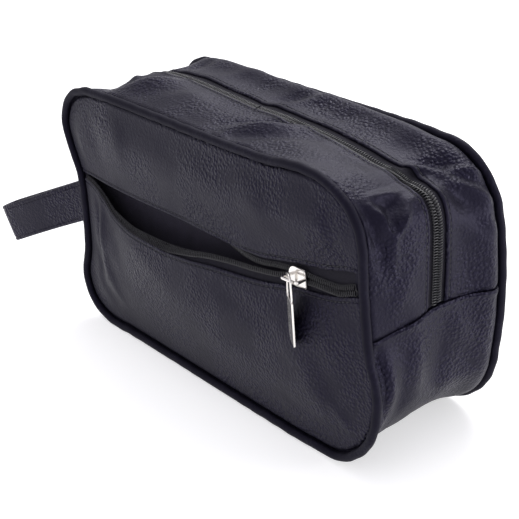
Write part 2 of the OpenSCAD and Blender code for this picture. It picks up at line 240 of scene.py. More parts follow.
# Creases: run and y of both ends, half width, and height (a valley is negative).
creases = [
    # front strip over the top and round the right corner
    (352, -29, 323, -6, 4.2, 2.6), (360, -25, 333, -2, 3.6, -1.8), (343, -33, 311, -11, 4.0, -2.0),
    (335, -30, 300, -12, 9.0, 0.8), (248, -25, 243, -15, 4.6, -3.2), (245, -21, 233, -25, 3.2, -2.8),
    (254, -27, 251, -13, 2.6, 1.5), (250, -29, 231, -25.5, 1.8, 1.7), (245, -11, 231, -24, 1.9, 2.0),
    (252, -34, 230, -31, 2.2, -2.0), (233, -25, 214, -25, 2.2, 1.2), (231, -29, 216, -30, 2.0, -1.1),
    (240, -35, 223, -29, 2.0, -1.3), (244, -33, 229, -24, 1.8, 1.0), (231, -34, 213, -30, 2.2, -1.0),
    (222, -31, 205, -31, 3.0, 0.9), (226, -22, 198, -12, 5.0, -0.8), (216, -14, 196, -24, 4.5, 0.6),
    # back strip and right back corner
    (362, 10, 344, 29, 4.5, 1.8), (372, 11, 354, 31, 4.0, -1.4), (340, 10, 318, 25, 5.0, -1.0),
    (300, 13, 285, 28, 6.0, 0.8), (268, 7, 250, 18, 3.4, 2.6), (273, 13, 253, 26, 4.4, -2.4),
    (246, 11, 232, 19, 4.0, -2.2), (253, 22, 244, 35, 2.4, 1.6), (248, 21, 236, 34, 2.2, -1.6),
    (242, 20, 229, 35, 2.2, 1.3), (236, 19, 222, 32, 2.4, -1.2), (228, 14, 208, 28, 4.0, 1.0),
    (219, 11, 196, 18, 4.0, -0.9), (231, 24, 214, 35, 2.6, 0.8),
    # right end below the seam
    (180, -36, 146, -35, 2.6, -2.6), (177, -30, 147, -31, 3.8, 1.7), (170, -22, 140, -23, 4.0, -1.2),
    (182, -12, 148, -12, 5.5, 2.2), (179, 3, 140, 3, 6.0, -2.2), (181, 11, 164, 18, 4.5, 1.4),
    (160, 20, 128, 26, 8.0, 1.0), (146, -30, 100, -33, 5.0, -1.6), (130, -12, 90, -16, 7.0, 1.0),
    # left half of the top, and the left end
    (437, -24, 418, -8, 5.0, 1.8), (452, -30, 436, -10, 4.0, -2.0), (428, -30, 404, -14, 5.0, -1.2),
    (445, -20, 459, -12, 3.0, 1.6), (455, -30, 466, -16, 4.0, -1.2), (410, -12, 380, -20, 7.0, 0.9),
    (420, 12, 402, 30, 5.0, 1.2), (446, 10, 438, 28, 4.0, -1.2), (400, 11, 378, 26, 6.0, -0.9),
    (485, -30, 497, -16, 5.0, -2.4), (500, -28, 512, -16, 4.0, 1.4), (495, 18, 508, 32, 5.0, -2.0),
    (520, -30, 536, -18, 4.0, -1.4), (530, -34, 556, -24, 3.0, 1.2), (560, 24, 592, 18, 6.0, -1.6),
    (556, -28, 588, -22, 5.0, -1.8), (575, -8, 612, -4, 7.0, 1.2), (570, 8, 606, 14, 6.0, 1.0),
    # base
    (600, -10, 650, 4, 8.0, -1.2), (680, -26, 730, -30, 6.0, -0.8), (30, 22, 90, 28, 7.0, -1.0),
]


def ridges(u, v, lines):
    """Height of a list of soft ridges and valleys, each fading towards its two ends."""
    total = np.zeros(np.broadcast(u, v).shape)
    for u0, v0, u1, v1, width, height in lines:
        du, dv = u1 - u0, v1 - v0
        t = np.clip(((u - u0) * du + (v - v0) * dv) / (du * du + dv * dv), 0, 1)
        off = np.hypot(u - u0 - t * du, v - v0 - t * dv)
        total += height * np.exp(-(off / width) ** 2) * np.sin(math.pi * (0.15 + 0.7 * t))
    return total


def facing(skin, u, v, step=probe):
    """Unit normal of a surface given as a function of two distances."""
    normal = np.cross(skin(u + step, v) - skin(u - step, v), skin(u, v + step) - skin(u, v - step))
    return normal / np.linalg.norm(normal, axis=-1, keepdims=True)


def settled(run, y):
    """How far the gusset and the strips stand out from the drawn outline at a run and a y."""
    s = np.mod(run, girth)
    across = np.clip(np.abs(y) / band_half, 0, 1.2)
    held = np.clip(1 - across, 0, 1)
    edge = np.where(y < 0, front_drift(s), back_drift(s)) * ease(across)
    middle = middle_drift(s) * (1 - across ** 2.2)
    front = front_puff(s) * np.sin(math.pi * np.clip(across, 0, 1)) ** 2
    back = back_puff(s) * np.sin(math.pi * np.clip(across, 0, 1) ** 3.0) ** 2
    crease = ridges(s, y, creases) * ease(held / 0.07)
    ripple = 0.22 * np.sin(s / 7.3 + y / 11) * np.sin(y / 6.1 - s / 23) * ease(held / 0.2)
    tuck = -0.9 * np.exp(-((1 - across) * band_half / 1.3) ** 2)
    return edge + middle + np.where(y < 0, front, back) + crease + ripple + tuck


def place_band(run, y, depth):
    """Point on the gusset or a strip, depth below its outer face."""
    def skin(u, v):
        r = u + seam_wave(v) * np.exp(-((u - run_seam) / 22) ** 2)
        x, z, nx, nz = rim(r)
        d = settled(r, v) - face_in
        return np.stack([x + nx * d, v + 0 * r, z + nz * d], -1)
    normal = facing(skin, run, y)
    _, _, nx, nz = rim(run)
    flip = np.sign(normal[..., 0] * nx + normal[..., 2] * nz)
    return (skin(run, y) - normal * flip[..., None] * np.asarray(depth)[..., None]) * MM


print("settled shape ready, creases:", len(creases))

# %% [markdown]
# ## The pocket side
# The pocket zip runs nearly level across the front. Left of its slider the zip is open, so the lower lip
# sags and gapes. The upper edge, the lower edge and the gape are three more smooth lines.

# %% Pocket side shape
zip_half = 119.5
zip_slope = 0.0524


def zip_line(x):
    return pocket_zip_z + zip_slope * x + zip_rise(x)


zip_rise = through([(-118, 0), (80, 0), (103, 0.2), (118, 3.6)])
upper_z = through([(-121, 91.8), (-111, 91.6), (-85, 90.5), (-60, 90.3), (-37, 90.8), (-14, 91.2),
                   (7, 91.1), (27, 91.5), (47, 92.7), (58, 94.6), (74, 97.6), (95, 101.3),
                   (121, 106.2)])
lower_z = through([(-121, 89), (-111, 88.0), (-103, 86.3), (-94, 83.6), (-77, 76.8), (-54, 73.7),
                   (-30, 73.6), (-7, 75.4), (11, 77.3), (29, 78.5), (48, 80.6), (61, 83),
                   (75, 86.0), (90, 88.0), (103, 90.4), (121, 94.8)])
gape = through([(-121, 0), (-111, 0.4), (-94, 2), (-77, 4.5), (-54, 6.5), (-30, 7), (-7, 6.6),
                (11, 5), (29, 3), (48, 1.8), (61, 0.9), (75, 0.2), (95, 0), (121, 0)])
overhang = through([(-121, 0), (-60, 0.3), (0, 0.6), (42, 1.6), (62, 0.8), (78, 0), (121, 0)])
coil_above = through([(-121, 0.6), (-94, 0.6), (-60, 0.7), (-32, 1.2), (-10, 2.6), (11, 4.4),
                      (29, 5.2), (47, 5.2), (60, 4.8), (121, 4.1)])
tape_lean = through([(-121, 0.3), (-94, 0.6), (-60, 1.0), (-32, 1.6), (-10, 1.8), (11, 1.0),
                     (29, 0.3), (60, 0), (121, 0)])

# Folds of the two front panels: x and z of both ends, half width, and height.
front_folds = [
    (-96, 84, -93, 40, 4.5, 1.5), (-104, 80, -101, 46, 3.4, -1.6), (-110, 48, -92, 18, 4.0, -1.7),
    (-92, 44, -82, 20, 5.0, 1.3), (-82, 70, -72, 48, 7.0, -0.9), (-60, 66, -30, 58, 7.0, 0.8),
    (60, 70, 84, 40, 9.0, 0.8), (88, 60, 100, 24, 7.0, -1.0), (96, 34, 112, 18, 4.0, 0.9),
    (64, 22, 98, 14, 4.0, -0.8), (-40, 30, 20, 22, 9.0, -0.8), (-96, 128, -88, 104, 7.0, -1.3),
    (-70, 134, -66, 108, 8.0, 0.9), (-20, 124, 10, 104, 10.0, -0.7), (40, 128, 62, 108, 9.0, 0.8),
    (98, 130, 104, 112, 5.0, -0.9), (-108, 118, -106, 98, 4.0, 0.8), (20, 66, 52, 60, 6.0, -0.7),
]


def warp_front(x, z, drift):
    """Shifts a point of a big panel with the outline near it."""
    run, depth = nearest_run(x, z)
    _, _, nx, nz = rim(run)
    d = drift(np.mod(run, girth)) * ease(1 - np.clip(depth, 0, None) / 46)
    return x + nx * d, z + nz * d, depth


def swell(x, z):
    """Slow waves of a stretched panel, with its folds."""
    slow = 0.35 * np.sin(x / 17 + 1.1) * np.sin(z / 13 + x / 60)
    quick = 0.22 * np.sin(x / 7.5 - z / 9) * np.sin(z / 11.0 + 0.4)
    return slow + quick + ridges(x, z, front_folds)


def face_upper(x, z):
    _, depth = nearest_run(x, z)
    e = z - upper_z(x)
    puff = 3.6 * ease((depth - 4) / 24) * ease((e - 1) / 24)
    lip = overhang(x) * np.exp(-(np.clip(e, 0, None) / 11) ** 2)
    edge = ease((depth - 5) / 14)
    dent = 1.4 * np.exp(-((x + 98) / 12) ** 2 - ((z - 118) / 15) ** 2)
    return -panel_face - puff - lip - swell(x, z) * edge * ease(e / 8) + dent


def face_lower(x, z):
    _, depth = nearest_run(x, z)
    e = lower_z(x) - z
    puff = 4.6 * ease((depth - 4) / 34) * ease((e + 4) / 34)
    lean = gape(x) * np.where(e > 0, np.exp(-(e / 30) ** 2), 1.0)
    lean = lean + tape_lean(x) * np.clip(e / coil_above(x), -1.8, 0)
    edge = ease((depth - 5) / 14)
    return -panel_face - puff - lean - swell(x, z) * edge * ease((e + 2) / 10)


def place_front(face):
    def place(x, z, depth):
        def skin(u, v):
            wx, wz, d = warp_front(u, v, front_drift)
            tuck = 1.5 * (1 - ease((d - tuck_in) / 2.6))
            return np.stack([wx, face(u, v) + tuck, wz], -1)
        normal = facing(skin, x, z)
        normal *= -np.sign(normal[..., 1:2])
        return (skin(x, z) - normal * np.asarray(depth)[..., None]) * MM
    return place


place_upper = place_front(face_upper)
place_lower = place_front(face_lower)
print("pocket side ready, folds:", len(front_folds))

# %% [markdown]
# ## Sheets that become pieces
# A piece of leather cloth or tape is a long flat sheet with rounded or turned edges. It could be pulled
# from a cube, but a grid rolled into a flat tube gives even rows that follow the piece. One row of points
# is its section: a share of the way between its two edges, an offset, and a depth below the outer face.

# %% Sheets


def new_grid(name, columns, rows):
    bpy.ops.object.select_all(action="DESELECT")
    bpy.ops.mesh.primitive_grid_add(x_subdivisions=columns, y_subdivisions=rows, size=2)
    obj = bpy.context.active_object
    obj.name = obj.data.name = name
    return obj


def steps_of(co, columns, rows):
    """Column and row number of every point of a new grid."""
    return (np.rint((co[:, 0] + 1) / 2 * columns).astype(int),
            np.rint((co[:, 1] + 1) / 2 * rows).astype(int))


def points_of(obj):
    co = np.empty(len(obj.data.vertices) * 3)
    obj.data.vertices.foreach_get("co", co)
    return co.reshape(-1, 3)


def move_points(obj, co):
    obj.data.vertices.foreach_set("co", np.ascontiguousarray(co, float).ravel())
    obj.data.update()


def set_cloth_map(obj, along, across):
    """A UV map in hundredths of a metre, so that a weave follows the piece."""
    layer = obj.data.uv_layers.active or obj.data.uv_layers.new(name="UVMap")
    index = np.empty(len(obj.data.loops), int)
    obj.data.loops.foreach_get("vertex_index", index)
    layer.data.foreach_set("uv", (np.stack([along[index], across[index]], -1) * 0.1).ravel())


def pick(*objects):
    """Selects these objects only; the first is the active one."""
    bpy.ops.object.select_all(action="DESELECT")
    for obj in objects:
        obj.select_set(True)
    bpy.context.view_layer.objects.active = objects[0]


def repeat(obj, count, pitch, merge=None):
    """Copies a first turn or stitch along x with an Array modifier, and applies it."""
    pick(obj)
    array = obj.modifiers.new("repeat", "ARRAY")
    array.count = count
    array.use_relative_offset = False
    array.use_constant_offset = True
    array.constant_offset_displace = (pitch, 0, 0)
    if merge:
        array.use_merge_vertices = True
        array.merge_threshold = merge
    bpy.ops.object.modifier_apply(modifier=array.name)
    return points_of(obj)


def mend(obj, cap=True, angle=35.0):
    """Joins the sheet's long edges, closes its ends, and turns its faces outwards."""
    pick(obj)
    bpy.ops.object.mode_set(mode="EDIT")
    bpy.ops.mesh.select_all(action="SELECT")
    bpy.ops.mesh.remove_doubles(threshold=2e-6)
    if cap:
        bpy.ops.mesh.fill_holes(sides=0)
    bpy.ops.mesh.select_all(action="SELECT")
    bpy.ops.mesh.normals_make_consistent(inside=False)
    bpy.ops.object.mode_set(mode="OBJECT")
    bpy.ops.object.shade_smooth_by_angle(angle=math.radians(angle))
    return obj


def sheet(name, runs, section, edges, place, cap=True):
    """A closed strip: section points at every run, between edges[0](run) and edges[1](run)."""
    share, offset, depth = (np.array(v, float) for v in zip(*(section + section[:1])))
    obj = new_grid(name, len(runs) - 1, len(share) - 1)
    co = points_of(obj)
    i, j = steps_of(co, len(runs) - 1, len(share) - 1)
    run = np.asarray(runs, float)[i]
    low, high = edges[0](run), edges[1](run)
    across = low + (high - low) * share[j] + offset[j]
    set_cloth_map(obj, run, across)
    move_points(obj, place(run, across, depth[j]))
    mend(obj, cap)
    return obj


def both_ways(low, high, step):
    return np.linspace(low, high, max(2, int(round((high - low) / step))) + 1)


def leather_section(rows, low_roll, high_roll):
    """Outer face from the low to the high edge, then back along the inner face."""
    turned = [(0.0, 0.95), (0.08, 0.55), (0.35, 0.2), (0.75, 0.02), (1.2, -0.1), (1.7, 0.0), (2.0, 0.3),
              (2.25, 0.38), (2.5, 0.3), (2.8, 0.04), (3.6, 0.0)]
    tucked = [(0.0, 1.0), (0.25, 0.6), (0.7, 0.25), (1.4, 0.06), (2.4, 0.0)]
    low = turned if low_roll else tucked
    high = turned if high_roll else tucked
    inner = leather_t + 0.05
    points = [(0, o, d) for o, d in low]
    points += [(float(t), low[-1][0] * (1 - t) - high[-1][0] * t, 0.0)
               for t in np.linspace(0, 1, rows + 2)[1:-1]]
    points += [(1, -o, d) for o, d in reversed(high)]
    points += [(1, -0.05, inner - 0.1), (1, -0.5, inner)]
    points += [(float(t), 0.0, inner) for t in np.linspace(0.92, 0.08, 7)]
    points += [(0, 0.5, inner), (0, 0.05, inner - 0.1)]
    return points


print("sheet tools ready")

# %% [markdown]
# ## Leather cloth
# The outside is a navy-black coated cloth with a pebble grain. The grain could be painted from an image,
# but cells and noise in three dimensions need no seams. The grain stands up in patches, its valleys get a
# little painted shade in the colour, and the gloss changes slowly over the surface.

# %% Materials


def tree_of(name):
    mat = bpy.data.materials.new(name)
    mat.use_nodes = True
    nodes, links = mat.node_tree.nodes, mat.node_tree.links
    shader = nodes["Principled BSDF"]
    return mat, nodes, links, shader


def texture(nodes, kind, **values):
    node = nodes.new(kind)
    for key, value in values.items():
        if hasattr(node, key):
            setattr(node, key, value)
        else:
            node.inputs[key.replace("_", " ").title()].default_value = value
    return node


def mix_colour(nodes, links, fac, a, b):
    node = nodes.new("ShaderNodeMix")
    node.data_type = "RGBA"
    for socket, value in ((node.inputs[6], a), (node.inputs[7], b)):
        if hasattr(value, "is_linked"):
            links.new(value, socket)
        else:
            socket.default_value = (*value, 1)
    links.new(fac, node.inputs[0])
    return node.outputs[2]


def remap(nodes, links, value, a, b, c, d):
    node = nodes.new("ShaderNodeMapRange")
    for i, v in zip((1, 2, 3, 4), (a, b, c, d)):
        node.inputs[i].default_value = v
    links.new(value, node.inputs[0])
    return node.outputs[0]


def maths(nodes, links, kind, a, b):
    node = nodes.new("ShaderNodeMath")
    node.operation = kind
    for socket, value in zip(node.inputs, (a, b)):
        if hasattr(value, "is_linked"):
            links.new(value, socket)
        else:
            socket.default_value = value
    return node.outputs[0]


def add_bump(nodes, links, shader, height, strength, distance):
    bump = nodes.new("ShaderNodeBump")
    bump.inputs["Strength"].default_value = strength
    bump.inputs["Distance"].default_value = distance
    links.new(height, bump.inputs["Height"])
    links.new(bump.outputs[0], shader.inputs["Normal"])


def times(colour, amount):
    return tuple(amount * v for v in colour)


def leather_cloth(name, dark, light, grain, rough):
    mat, nodes, links, shader = tree_of(name)
    coord = nodes.new("ShaderNodeTexCoord").outputs["Object"]
    warp = texture(nodes, "ShaderNodeTexNoise", scale=420.0, detail=2.0)
    links.new(coord, warp.inputs["Vector"])
    bent = nodes.new("ShaderNodeVectorMath")
    bent.operation = "MULTIPLY_ADD"
    links.new(warp.outputs["Color"], bent.inputs[0])
    bent.inputs[1].default_value = (0.0009,) * 3
    links.new(coord, bent.inputs[2])
    cells = texture(nodes, "ShaderNodeTexVoronoi", feature="SMOOTH_F1", scale=600.0, smoothness=0.3)
    links.new(bent.outputs[0], cells.inputs["Vector"])
    fine = texture(nodes, "ShaderNodeTexNoise", scale=2600.0, detail=3.0)
    patch = texture(nodes, "ShaderNodeTexNoise", scale=34.0, detail=3.0)
    broad = texture(nodes, "ShaderNodeTexNoise", scale=11.0, detail=2.0)
    for node in (fine, patch, broad):
        links.new(coord, node.inputs["Vector"])
    pebble = remap(nodes, links, cells.outputs["Distance"], 0.12, 0.68, 1.0, 0.0)
    amount = remap(nodes, links, patch.outputs["Fac"], 0.42, 0.64, 0.16, 1.0)
    raised = maths(nodes, links, "MULTIPLY", pebble, amount)
    pores = maths(nodes, links, "MULTIPLY", fine.outputs["Fac"], 0.22)
    height = maths(nodes, links, "ADD", raised, pores)
    add_bump(nodes, links, shader, height, grain, 0.0007)
    tone = remap(nodes, links, broad.outputs["Fac"], 0.3, 0.7, 0.0, 1.0)
    tint = mix_colour(nodes, links, tone, dark, light)
    # painted shade: the base colour goes darker in the grain's valleys, as shade that falls in them
    painted_valley_shade = remap(nodes, links, raised, 0.0, 0.5, 0.0, 1.0)
    links.new(mix_colour(nodes, links, painted_valley_shade, times(dark, 0.35), tint), shader.inputs["Base Color"])
    gloss = remap(nodes, links, patch.outputs["Fac"], 0.3, 0.7, rough + 0.07, rough - 0.06)
    links.new(gloss, shader.inputs["Roughness"])
    shader.inputs["IOR"].default_value = 1.33
    shader.inputs["Specular Tint"].default_value = (0.60, 0.55, 0.93, 1)
    return mat


def woven(name, colour, scale, rough, sheen):
    """Cloth whose threads follow the piece's own map."""
    mat, nodes, links, shader = tree_of(name)
    tex = nodes.new("ShaderNodeTexCoord")
    waves = []
    for direction in ("X", "Y"):
        wave = texture(nodes, "ShaderNodeTexWave", wave_type="BANDS", bands_direction=direction,
                       scale=scale, distortion=0.5, detail=1.0)
        links.new(tex.outputs["UV"], wave.inputs["Vector"])
        waves.append(wave.outputs["Fac"])
    weave = maths(nodes, links, "MULTIPLY", *waves)
    dust = texture(nodes, "ShaderNodeTexNoise", scale=160.0, detail=3.0)
    links.new(tex.outputs["Object"], dust.inputs["Vector"])
    add_bump(nodes, links, shader, weave, 0.6, 0.00012)
    shade = remap(nodes, links, dust.outputs["Fac"], 0.3, 0.7, 0.0, 1.0)
    tint = mix_colour(nodes, links, shade, times(colour, 0.7), times(colour, 1.35))
    links.new(tint, shader.inputs["Base Color"])
    shader.inputs["Roughness"].default_value = rough
    shader.inputs["Sheen Weight"].default_value = sheen
    shader.inputs["Specular IOR Level"].default_value = 0.22
    shader.inputs["Specular Tint"].default_value = (0.85, 0.80, 1.0, 1)
    return mat


def plain_noise(name, colour, rough, scale, metallic=0.0, spread=0.25, bump_depth=0.00003):
    mat, nodes, links, shader = tree_of(name)
    coord = nodes.new("ShaderNodeTexCoord").outputs["Object"]
    noise = texture(nodes, "ShaderNodeTexNoise", scale=scale, detail=4.0)
    links.new(coord, noise.inputs["Vector"])
    shade = remap(nodes, links, noise.outputs["Fac"], 0.3, 0.7, 0.0, 1.0)
    tint = mix_colour(nodes, links, shade, times(colour, 1 - spread), colour)
    links.new(tint, shader.inputs["Base Color"])
    links.new(remap(nodes, links, noise.outputs["Fac"], 0.3, 0.7, rough * 1.3, rough * 0.8),
              shader.inputs["Roughness"])
    add_bump(nodes, links, shader, noise.outputs["Fac"], 0.3, bump_depth)
    shader.inputs["Metallic"].default_value = metallic
    return mat


leather = leather_cloth("leather_cloth", dark=(0.0042, 0.0036, 0.0092),
                        light=(0.0080, 0.0069, 0.0155), grain=0.9, rough=0.46)
leather_smooth = leather_cloth("piping_cloth", dark=(0.0012, 0.0010, 0.0032),
                               light=(0.0026, 0.0022, 0.0055), grain=0.25, rough=0.66)
lining_cloth = woven("lining_cloth", (0.0095, 0.0080, 0.0150), 9.0, 0.8, 0.04)
tape_cloth = woven("zip_tape_cloth", (0.0042, 0.0038, 0.0070), 12.0, 0.85, 0.03)
coil_nylon = plain_noise("coil_nylon", (0.0085, 0.0080, 0.0115), 0.30, 900.0)
thread = plain_noise("sewing_thread", (0.012, 0.012, 0.017), 0.55, 2500.0)
filler = plain_noise("filler_cord", (0.62, 0.60, 0.55), 0.85, 1400.0, bump_depth=0.0001)
nickel = plain_noise("bright_nickel", (0.86, 0.83, 0.79), 0.2, 260.0, metallic=1.0, spread=0.08,
                     bump_depth=0.000006)


def finish_piece(obj, material, slot, body, *nodes):
    obj.data.materials.clear()
    obj.data.materials.append(material)
    if body:
        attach(obj, body)
    if nodes:
        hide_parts(*nodes)
    made.append((obj.name, len(obj.data.polygons)))
    return obj


made = []
print("materials:", len(bpy.data.materials))

# %% [markdown]
# ## Floor, light and camera
# A pale floor, and soft light from the sky and three large panels: one high behind the left end, one low
# at the right back, and a weak one in front. The camera stands above the right front corner.

# %% Stage
bpy.ops.object.select_all(action="DESELECT")
bpy.ops.mesh.primitive_plane_add(size=12, location=(0, 0, -0.0003))
floor = bpy.context.active_object
floor.name = "floor"
floor_mat, *_, floor_shader = tree_of("pale_floor")
floor_shader.inputs["Base Color"].default_value = (0.72, 0.72, 0.72, 1)
floor_shader.inputs["Roughness"].default_value = 0.9
floor_shader.inputs["Specular IOR Level"].default_value = 0.0
floor_shader.inputs["Emission Color"].default_value = (1, 1, 1, 1)
floor_shader.inputs["Emission Strength"].default_value = 0.5
floor.data.materials.append(floor_mat)

world = bpy.data.worlds.new("studio")
bpy.context.scene.world = world
world.use_nodes = True
world.node_tree.nodes["Background"].inputs[0].default_value = (0.95, 0.935, 1.0, 1)
world.node_tree.nodes["Background"].inputs[1].default_value = 0.82


def add_light(kind, name, place, aim, energy, size):
    bpy.ops.object.light_add(type=kind, location=place)
    lamp = bpy.context.active_object
    lamp.name = name
    lamp.rotation_mode = "QUATERNION"
    lamp.rotation_quaternion = (Vector(aim) - Vector(place)).to_track_quat("-Z", "Y")
    lamp.data.energy = energy
    if kind == "SUN":
        lamp.data.angle = size
    else:
        lamp.data.size = size
    return lamp


add_light("SUN", "sky_soft", (-0.5, 0.55, 1.6), (0, 0, 0), 1.1, math.radians(55))
add_light("AREA", "back_panel_light", (-0.35, 0.75, 0.95), (0.0, 0.0, 0.14), 6.5, 0.6)
add_light("AREA", "front_fill", (0.25, -1.1, 0.7), (0.0, 0.0, 0.07), 1.3, 0.8)
add_light("AREA", "right_back_panel", (1.25, 0.80, 0.27), (0.12, 0.0, 0.10), 12.0, 0.55)

camera_data = bpy.data.cameras.new("camera")
camera = bpy.data.objects.new("camera", camera_data)
bpy.context.collection.objects.link(camera)
right = Vector((0.62284, 0.77948, -0.06701))
up = Vector((-0.30159, 0.31825, 0.89876))
ahead = Vector((-0.72188, 0.53957, -0.43330))
turn = Matrix((right, up, -ahead)).transposed().to_4x4()
camera.matrix_world = Matrix.Translation(Vector((0.46376, -0.35208, 0.34138))) @ turn
camera_data.lens, camera_data.sensor_width = 85.37, 36.0
camera_data.clip_start, camera_data.clip_end = 0.01, 50.0
bpy.context.scene.camera = camera
bpy.context.scene.view_settings.view_transform = "Standard"
print("camera at", [round(v, 3) for v in camera.location])

# %% [markdown]
# ## Bottom gusset
# One long strip goes up the left end, under the bag and up the right end. Its edges are sewn under the
# piping and its two ends are turned under at the end seams. It is laid on the settled shape, so the base
# lifts between the pipings and the ends crease.

# %% Bottom gusset


def fixed(value):
    return lambda run: np.full(np.shape(run), float(value))


gusset_rows = both_ways(-run_seam, run_seam, 1.15)


def place_gusset(run, y, depth):
    end = run_seam - np.abs(run)                       # distance from the nearer end seam
    hem = 0.95 * np.exp(-(end / 3.2) ** 2) - 0.9 * np.exp(-(end / 0.5) ** 2)
    slack = 0.3 * np.exp(-(end / 9) ** 2) * np.sin(y / 3.4)
    return place_band(run, y, depth - hem - slack)


gusset = sheet("bottom_gusset_cloth", gusset_rows, leather_section(58, False, False),
               (fixed(-band_half), fixed(band_half)), place_gusset)
finish_piece(gusset, leather, "leather", "bag", "bottom_gusset")

lining_half = 35.6               # half width of the lining of the base
lining_rows = both_ways(-run_seam + 3, run_seam - 3, 4.0)
base_lining = sheet(
    "bottom_lining_cloth", lining_rows,
    [(float(t), 0.0, 1.75) for t in np.linspace(0, 1, 15)]
    + [(float(t), 0.0, 2.15) for t in np.linspace(1, 0, 15)],
    (fixed(-lining_half), fixed(lining_half)), place_band)
finish_piece(base_lining, lining_cloth, "lining", "bag", "bottom_lining")
print("base:", made[-2:])

# %% [markdown]
# ## Top strips
# Two strips run from end seam to end seam over the top, with the zip between them. Each is made as a
# right and a left half that meet at the middle of the top. The edge beside the zip is turned under and
# topstitched.

# %% Top strips
front_edge = through([(run_seam, -5.6), (215, -5.4), (245, -4.6), (268, -3.7), (300, -3.3),
                      (430, -3.3), (465, -3.8), (495, -4.8), (520, -5.6), (run_seam_left, -5.6)])
back_edge = through([(run_seam, 5.2), (215, 5.2), (245, 6.0), (268, 7.0), (300, 7.6), (367, 8.0),
                     (430, 8.0), (465, 7.4), (495, 6.4), (520, 5.6), (run_seam_left, 5.6)])
front_lift = through([(run_seam, 0), (230, 0.1), (262, 0.9), (300, 1.4), (420, 1.2), (470, 0.6),
                      (505, 0), (run_seam_left, 0)])
strip_step = 1.0
halves = {"right": (run_seam, run_mid), "left": (run_mid, run_seam_left)}


def place_strip(run, y, depth):
    end = np.minimum(run - run_seam, run_seam_left - run)
    sink = 0.8 * np.exp(-(end / 1.3) ** 2)
    near = np.exp(-((y - front_edge(run)) / 4.5) ** 2) * (y < 0)
    return place_band(run, y, depth + sink - front_lift(run) * near)


def lift_with(obj):
    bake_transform(obj)


lips = [("front", -1, front_edge), ("back", 1, back_edge)]
strip_rows = {"front": 30, "back": 28}


def finish_lip(obj, material, slot, side, lip, *nodes):
    """Finishes a right or left half of the front or the back lip, and bakes where it stands into its
    points.
    """
    finish_piece(obj, material, slot, None, *nodes)
    lift_with(obj)


for side, (low, high) in halves.items():
    rows = both_ways(low, high, strip_step)
    for lip, sign, edge in lips:
        edges = (fixed(-band_half), edge) if sign < 0 else (edge, fixed(band_half))
        section = leather_section(strip_rows[lip], sign > 0, sign < 0)
        strip = sheet(f"{lip}_strip_cloth_{side}", rows, section, edges, place_strip)
        finish_lip(strip, leather, "leather", side, lip, f"{lip}_strip_{side}", f"{lip}_strip_top")
print("strips:", made[-4:])

# %% [markdown]
# ## Zip tapes
# The tapes are thin woven bands sewn under the turned edges. Only a few millimetres show beside the
# coils, but they are modelled at their full width, because the lips open.

# %% Main zip tapes
tape_sew = 6.0
tape_depth = leather_t + 0.1


def tape_section(rows):
    top = [(float(t), 0.0, tape_depth) for t in np.linspace(0, 1, rows)]
    return top + [(float(t), 0.0, tape_depth + tape_t) for t in np.linspace(1, 0, rows)]


def shifted(line, amount):
    return lambda run: line(run) + amount


tape_edge = 1.6                  # from the middle of the zip to a tape's edge
for side, (low, high) in halves.items():
    rows = both_ways(low + 0.4 * (side == "right"), high - 0.4 * (side == "left"), 1.6)
    for lip, sign, edge in lips:
        edges = (shifted(edge, sign * tape_sew), fixed(sign * tape_edge))
        edges = edges if sign < 0 else edges[::-1]
        tape = sheet(f"{lip}_tape_cloth_{side}", rows, tape_section(12), edges, place_band)
        finish_lip(tape, tape_cloth, "zip_tape", side, lip, f"{lip}_tape_{side}", f"{lip}_tape_top")
print("main tapes:", made[-4:])

# %% [markdown]
# ## Zip coils
# The teeth of this zip are one nylon thread wound into a flat spiral. One turn is modelled as a bent
# tube with a thicker head where it meets the other coil, an Array modifier repeats it, and the straight
# coil is then laid along its tape.

# %% Coils


def coil(name, low, high, head_side, centre, place, phase):
    count = int((high - low) / coil_pitch)
    ring, sides = 10, 6
    obj = new_grid(name, ring, sides)
    co = points_of(obj)
    t = (co[:, 0] + 1) / 2
    a = (co[:, 1] + 1) * math.pi
    turn_angle = 2 * math.pi * t
    thick = 0.30 + 0.13 * np.clip(np.cos(turn_angle), 0, 1) ** 2
    across = (coil_half - 0.30) * np.cos(turn_angle) * head_side
    height = (coil_h / 2 - 0.33) * np.sin(turn_angle)
    squarish = 1.15 - 0.15 * np.abs(np.sin(turn_angle))
    radial = np.stack([0 * t, np.cos(turn_angle) * head_side, np.sin(turn_angle)], -1)
    line = np.stack([t * coil_pitch, across * squarish, height], -1)
    move_points(obj, line + radial * (thick * np.cos(a))[:, None]
                + np.array([1.0, 0, 0]) * (thick * np.sin(a))[:, None])
    co = repeat(obj, count, coil_pitch, 0.001)
    run = np.clip(low + phase * coil_pitch + co[:, 0], low, high)
    depth = leather_t + 0.1 - coil_h / 2 - co[:, 2]
    move_points(obj, place(run, centre(run) + co[:, 1], depth))
    mend(obj, angle=60.0)
    return obj


def coil_line(sign):
    """Middle of a main coil: beside the middle line, spread a little inside the slider."""
    def line(run):
        spread = 1.0 * np.exp(-((run - (girth - run_side + base_r - main_slider_z)) / 5.5) ** 2)
        return sign * (chain_gap + coil_half + spread)
    return line


slider_low, slider_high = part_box("main_slider")
main_slider_z = (slider_low.z + slider_high.z) / 2 / MM

for side, (low, high) in halves.items():
    start, stop = low + 1.2 * (side == "right"), high - 1.2 * (side == "left")
    for lip, sign, _ in lips:
        turns = coil(f"{lip}_coil_{side}", start, stop, -sign, coil_line(sign), place_band,
                     0.25 * (1 + sign))
        finish_lip(turns, coil_nylon, "zip_coil", side, lip, f"{lip}_teeth_{side}", f"{lip}_teeth_top")
print("coils:", made[-4:])

# %% [markdown]
# ## Piping
# A narrow band of the same cloth is folded round a filler cord, and its tail is sewn into the seam. The
# band could start as a torus, but a long sheet closed into a ring follows the settled outline. Its
# section is round outside, with the flat tail on one side. The cord is a thinner ring inside it.

# %% Piping


